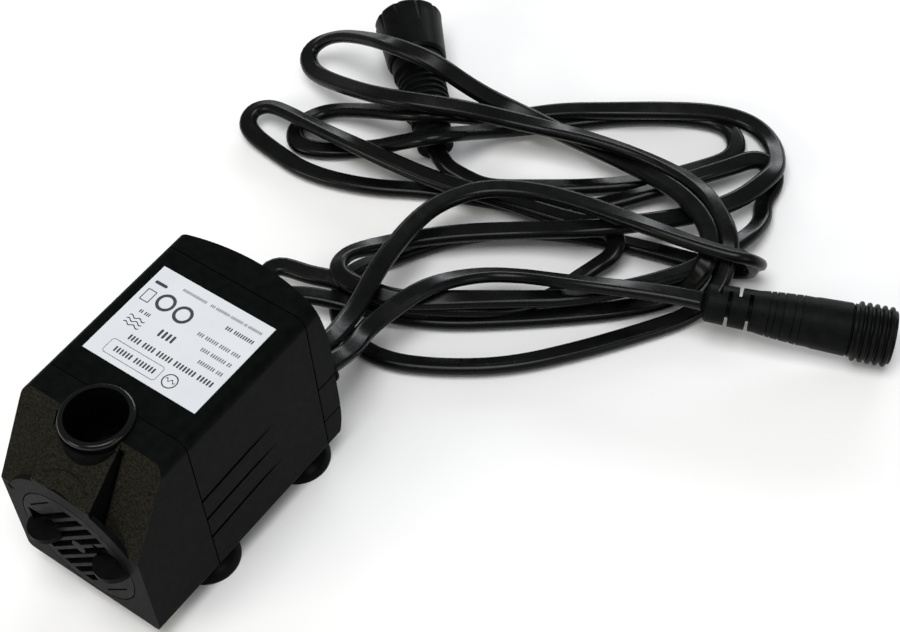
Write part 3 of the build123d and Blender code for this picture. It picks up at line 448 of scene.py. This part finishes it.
def add_facet_grain_and_painted_light(material):
    """Gives the slanted faces of the front cover their coarse matt grain and relief, and paints
    light on them: a paler, warmer colour for the light those faces catch from the front.
    """
    tree = material.node_tree
    shader = tree.nodes["Principled BSDF"]
    place = tree.nodes.new("ShaderNodeTexCoord")
    facing = tree.nodes.new("ShaderNodeVectorMath")
    facing.operation = "DOT_PRODUCT"
    facet_normal = (0, -0.73, 0.683)
    facing.inputs[1].default_value = facet_normal
    tree.links.new(place.outputs["Normal"], facing.inputs[0])
    # Faces turned to the front: this mask drives the painted light in the colour and the real
    # coarse relief.
    front_facing_mask = tree.nodes.new("ShaderNodeMapRange")
    front_facing_mask.inputs["From Min"].default_value = 0.90
    front_facing_mask.inputs["From Max"].default_value = 0.965
    tree.links.new(facing.outputs["Value"], front_facing_mask.inputs["Value"])
    grain = noise_texture(material, 1900, 3.0, 0.7)
    # Painted light: both speckle colours are far paler and warmer than the cover's own, so the
    # front-facing slopes look lit; the speckle pattern itself is real grain.
    speckle_and_painted_light = tree.nodes.new("ShaderNodeValToRGB")
    dark_grain, pale_speckle_painted_light = speckle_and_painted_light.color_ramp.elements
    dark_grain.position = 0.38
    dark_grain.color = (0.0050, 0.0049, 0.0036, 1)
    pale_speckle_painted_light.position = 0.66
    pale_speckle_painted_light.color = (0.0215, 0.0208, 0.0146, 1)
    tree.links.new(grain.outputs["Fac"], speckle_and_painted_light.inputs["Fac"])
    mix = tree.nodes.new("ShaderNodeMix")
    mix.data_type = "RGBA"
    smooth_colour = shader.inputs["Base Color"].links[0].from_socket
    tree.links.new(front_facing_mask.outputs["Result"], mix.inputs["Factor"])
    tree.links.new(smooth_colour, mix.inputs["A"])
    tree.links.new(speckle_and_painted_light.outputs["Color"], mix.inputs["B"])
    tree.links.new(mix.outputs["Result"], shader.inputs["Base Color"])
    fine_relief = shader.inputs["Normal"].links[0].from_node
    coarse = tree.nodes.new("ShaderNodeBump")
    coarse.inputs["Distance"].default_value = 0.3 * mm
    tree.links.new(front_facing_mask.outputs["Result"], coarse.inputs["Strength"])
    tree.links.new(grain.outputs["Fac"], coarse.inputs["Height"])
    tree.links.new(fine_relief.outputs["Normal"], coarse.inputs["Normal"])
    tree.links.new(coarse.outputs["Normal"], shader.inputs["Normal"])


# Coarse grain and painted light on the cover's front-facing slopes.
add_facet_grain_and_painted_light(cover)


def metal(name, color, roughness):
    """Bare metal with fine scratches of gloss."""
    material, shader = new_material(name, color, roughness, metallic=1.0)
    marks = noise_texture(material, 1300, 4.0)
    vary(material, shader.inputs["Roughness"], marks, roughness * 0.7, roughness * 1.4)
    scratch_depth = 0.05 * mm
    bump(material, shader, marks, 0.1, scratch_depth)
    return material


brass = metal("brass", (0.8, 0.6, 0.3), 0.25)
copper = metal("copper_wire", (0.75, 0.36, 0.2), 0.3)
core_steel = metal("core_steel", (0.3, 0.31, 0.33), 0.42)

finishes = {
    "motor_housing": housing, "rear_cover": housing, "front_cover": cover,
    "flow_dial": dial_plastic, "pump_chamber": outlet_plastic, "chamber_gasket": plug_rubber,
    "front_bush": plug_rubber, "rear_bush": plug_rubber, "rotor_well": inner_plastic,
    "rotor_shaft": ceramic, "rotor_magnet": magnet, "impeller": dark_impeller,
    "stator_core": core_steel, "coil_bobbin_left": pale_plastic,
    "coil_bobbin_right": pale_plastic, "coil_winding_left": copper,
    "coil_winding_right": copper, "potting_resin": resin, "rating_label": label_film,
    "cable_gland": plug_rubber, "plug_1_boot": plug_rubber, "plug_1_thread": plug_plastic,
    "plug_1_socket_a": brass, "plug_1_socket_b": brass, "plug_2_boot": plug_rubber,
    "plug_2_insert": plug_plastic, "plug_2_seal": cup_rubber, "plug_2_pin_a": brass,
    "plug_2_pin_b": brass, "plug_2_nut": plug_plastic, "suction_cup_front_left": cup_rubber,
    "suction_cup_front_right": cup_rubber, "suction_cup_rear_left": cup_rubber,
    "suction_cup_rear_right": cup_rubber,
}
for node_name, material in finishes.items():
    data = nodes[node_name].data
    data.materials.clear()
    data.materials.append(material)
for lead in (long_lead, short_lead):
    lead.data.materials.append(sheath)


# ---------------------------------------------------------------- label print
class LabelPrint:
    """Collects flat printed shapes on the label, in millimetres, read from the rear."""

    def __init__(self):
        low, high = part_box("rating_label")
        self.centre = (low + high) / 2
        self.top = high.z + 0.02 * mm
        self.mesh = bmesh.new()
        self.ink = 0

    def place(self, across, up):
        """Place of a point that lies so far across and up from the label's middle."""
        return Vector((self.centre.x - across * mm, self.centre.y - up * mm, self.top))

    def shape(self, corners):
        """One flat face in the current ink."""
        face = self.mesh.faces.new([self.mesh.verts.new(self.place(x, y)) for x, y in corners])
        face.material_index = self.ink

    def bar(self, left, bottom, width, height):
        """Bar with rounded ends."""
        radius = min(width, height) / 2
        corners = []
        for turn, (x, y) in enumerate([(left + width - radius, bottom + height - radius),
                                       (left + radius, bottom + height - radius),
                                       (left + radius, bottom + radius),
                                       (left + width - radius, bottom + radius)]):
            for step in range(5):
                angle = math.radians(90 * turn + 22.5 * step)
                corners.append((x + radius * math.cos(angle), y + radius * math.sin(angle)))
        self.shape(corners)

    def words(self, left, bottom, height, counts):
        """A line of plain upright ticks in groups, one group for each printed word."""
        at = left
        for count in counts:
            for tick in range(count):
                self.bar(at, bottom, height * 0.3, height)
                at += height * 0.56
            at += height * 0.42

    def ring(self, x, y, radius, width):
        """Plain ring with that outer radius."""
        steps = 32
        for step in range(steps):
            first = math.tau * step / steps
            second = math.tau * (step + 1) / steps
            self.shape([(x + reach * math.cos(angle), y + reach * math.sin(angle))
                        for reach, angle in ((radius, first), (radius, second),
                                             (radius - width, second), (radius - width, first))])

    def outline(self, corners, width):
        """Closed line through the corners."""
        for (x0, y0), (x1, y1) in zip(corners, corners[1:] + corners[:1]):
            run = Vector((x1 - x0, y1 - y0)).normalized()
            side = Vector((-run.y, run.x)) * width / 2
            self.shape([(x0 + side.x, y0 + side.y), (x0 - side.x, y0 - side.y),
                        (x1 - side.x, y1 - side.y), (x1 + side.x, y1 + side.y)])

    def wave(self, left, level, length, height, width):
        """Line that rises and falls twice."""
        steps = 24
        points = []
        for step in range(steps + 1):
            along = step / steps
            points.append((left + along * length, level + height * math.sin(along * math.tau * 2)))
        for (x0, y0), (x1, y1) in zip(points, points[1:]):
            self.shape([(x0, y0), (x1, y1), (x1, y1 + width), (x0, y0 + width)])


def print_label():
    """Generic print with no letters: groups of ticks, a frame, rings, waves, a box and a bar."""
    sheet = LabelPrint()
    sheet.outline([(-3.2, 8.7), (-2.7, 8.2), (11.9, 8.2), (12.4, 8.7), (12.4, 11.9),
                   (11.9, 12.4), (-2.7, 12.4), (-3.2, 11.9)], 0.13)
    sheet.words(-1.7, 9.5, 1.6, [7, 6])
    sheet.ring(-6.4, 10.4, 2.0, 0.3)
    sheet.wave(-7.8, 10.1, 2.8, 0.35, 0.3)
    sheet.words(-15.0, 5.2, 1.6, [5, 7, 5, 4, 4])
    sheet.words(0.4, 0.2, 2.2, [4])
    for level in (1.0, 2.1, 3.2):
        sheet.wave(9.4, level, 4.6, 0.28, 0.3)
    sheet.words(9.8, -1.5, 1.0, [3, 2])
    sheet.ring(3.6, -5.4, 2.5, 0.8)
    sheet.ring(9.2, -5.9, 2.5, 0.8)
    sheet.outline([(12.9, -3.6), (15.3, -3.6), (15.3, -7.0), (12.9, -7.0)], 0.24)
    sheet.bar(11.9, -9.9, 3.6, 0.85)
    sheet.words(-15.0, -8.7, 1.15, [9, 3])
    sheet.ink = 1
    sheet.words(-15.0, 2.1, 1.1, [3, 8])
    sheet.words(-15.0, -0.9, 1.1, [2, 7, 4])
    sheet.words(-15.0, -3.9, 1.1, [4, 5, 6, 3])
    sheet.words(-15.0, -11.5, 0.8, [9, 2, 8, 9, 3])
    sheet.words(1.4, -11.5, 0.8, [16])
    mesh = bpy.data.meshes.new("label_print")
    bmesh.ops.recalc_face_normals(sheet.mesh, faces=sheet.mesh.faces)
    sheet.mesh.to_mesh(mesh)
    sheet.mesh.free()
    mesh.materials.append(print_ink)
    mesh.materials.append(print_grey)
    piece = make_object("label_print", mesh, "pump")


print_label()


# ---------------------------------------------------------------- moulded arc on the middle facet
def ribbon(name, points, up, width, height):
    """Low moulded line with a rounded top along a few points."""
    rings = []
    for index, point in enumerate(points):
        before = points[max(0, index - 1)]
        after = points[min(len(points) - 1, index + 1)]
        side = (after - before).normalized().cross(up).normalized()
        taper = math.sin(math.pi * (0.06 + 0.88 * index / (len(points) - 1)))
        profile = [(-0.5, -0.4), (-0.32, 0.5), (0, 0.72), (0.32, 0.5), (0.5, -0.4)]
        rings.append([point + side * x * width * taper + up * y * height * taper
                      for x, y in profile])
    count = len(rings[0])
    vertices = [corner for ring in rings for corner in ring]
    faces = []
    for ring in range(len(rings) - 1):
        for corner in range(count):
            after = (corner + 1) % count
            faces.append((ring * count + corner, (ring + 1) * count + corner,
                          (ring + 1) * count + after, ring * count + after))
    faces.append(tuple(range(count)))
    faces.append(tuple(range((len(rings) - 1) * count, len(rings) * count))[::-1])
    mesh = bpy.data.meshes.new(name)
    mesh.from_pydata(vertices, [], faces)
    mesh.shade_smooth()
    return mesh


def add_facet_arc():
    """The arc beside the outlet that shows which way the intake dial turns."""
    front_edge = Vector((0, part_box("front_cover")[0].y, 44.3 * mm))
    slope = Vector((0, 14.1, 10.9)).normalized()
    up = Vector((0, -slope.z, slope.y))
    steps = 24
    lift = up * 0.03 * mm
    points = []
    for step in range(steps + 1):
        angle = math.radians(150 - 120 * step / steps)
        across = (0.6 + 7.0 * math.cos(angle)) * mm
        along = (0.2 + 5.6 * math.sin(angle)) * mm
        points.append(front_edge + Vector((across, 0, 0)) + slope * along + lift)
    mesh = ribbon("facet_arc", points, up, width=0.32 * mm, height=0.16 * mm)
    mesh.materials.append(dial_plastic)
    arc = make_object("facet_arc", mesh, "pump")


add_facet_arc()
